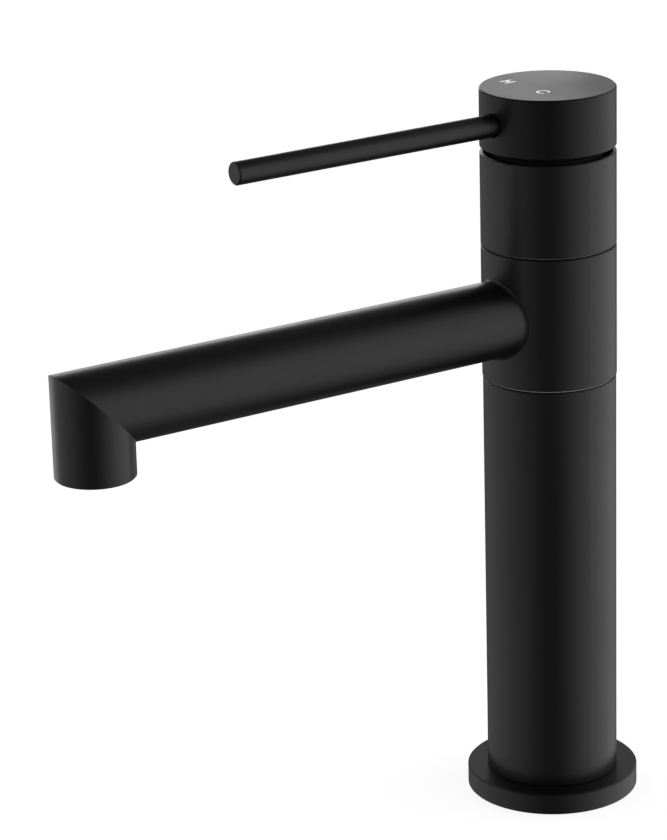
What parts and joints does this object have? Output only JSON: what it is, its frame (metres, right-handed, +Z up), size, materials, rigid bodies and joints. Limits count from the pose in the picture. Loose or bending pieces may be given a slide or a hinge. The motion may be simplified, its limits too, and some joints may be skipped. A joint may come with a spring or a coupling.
{
  "type": "bathroom mixer faucet",
  "caption": "Single-lever basin mixer faucet: round column on a disc base, swivel collar with a straight mitred spout, and a pin lever on a cylindrical cap.",
  "frame": {"origin": "centre of the base on the deck surface, midway between the two stud holes", "axes": "+Z up the column, -Y along the spout and the lever, -X the hot side and +X the cold side"},
  "size_m": [0.055, 0.2041, 0.2327],
  "materials": {
    "black_finish": "matte black coating on brass",
    "brass": "machined",
    "copper": "drawn tube",
    "steel": "ground",
    "rubber": "moulded",
    "nylon": "moulded",
    "cartridge_plastic": "moulded",
    "black_plastic": "moulded",
    "aerator_plastic": "moulded",
    "ceramic": "lapped"
  },
  "bodies": {
    "body": {"base_flange": "black_finish", "base_gasket": "rubber", "inlet_block": "brass", "hot_riser_tube": "copper", "cold_riser_tube": "copper", "riser_seals": "rubber", "column_tube": "black_finish", "valve_body": "black_finish", "lower_slip_ring": "nylon", "upper_slip_ring": "nylon", "neck_seals": "rubber", "swivel_stop_pin": "steel", "cartridge_base": "cartridge_plastic", "cartridge_port_seals": "rubber", "fixed_disc": "ceramic", "cartridge_housing": "cartridge_plastic", "retaining_nut": "brass", "cartridge_cover": "black_plastic"},
    "spout": {"spout_collar": "black_finish", "spout_tube": "black_finish", "spout_outlet": "black_finish", "aerator_housing": "black_plastic", "aerator_honeycomb": "aerator_plastic", "aerator_flow_disc": "aerator_plastic", "aerator_seal": "rubber"},
    "rotor": {"spindle_rotor": "nylon", "spindle_pivot_pin": "steel"},
    "handle": {"handle_cap": "black_finish", "lever_rod": "black_finish", "handle_grub_screw": "steel", "spindle": "steel"},
    "slider": {"disc_slider": "nylon", "moving_disc": "ceramic"}
  },
  "joints": [
    {"name": "spout_swivel", "type": "hinge", "parent": "body", "child": "spout", "pos_m": [0, 0, 0.1615], "axis": [0, 0, 1], "range_deg": [-60, 60]},
    {"name": "handle_turn", "type": "hinge", "parent": "body", "child": "rotor", "pos_m": [0, 0, 0.196], "axis": [0, 0, 1], "range_deg": [-50, 50]},
    {"name": "handle_lift", "type": "hinge", "parent": "rotor", "child": "handle", "pos_m": [0, 0, 0.196], "axis": [-1, 0, 0], "range_deg": [0, 18]},
    {"name": "disc_slide", "type": "slide", "parent": "rotor", "child": "slider", "axis": [0, -1, 0], "range_m": [0, 0.0028]}
  ],
  "couplings": [
    {"joint": "disc_slide", "follows": "handle_lift", "m_per_rad": 0.008656}
  ]
}
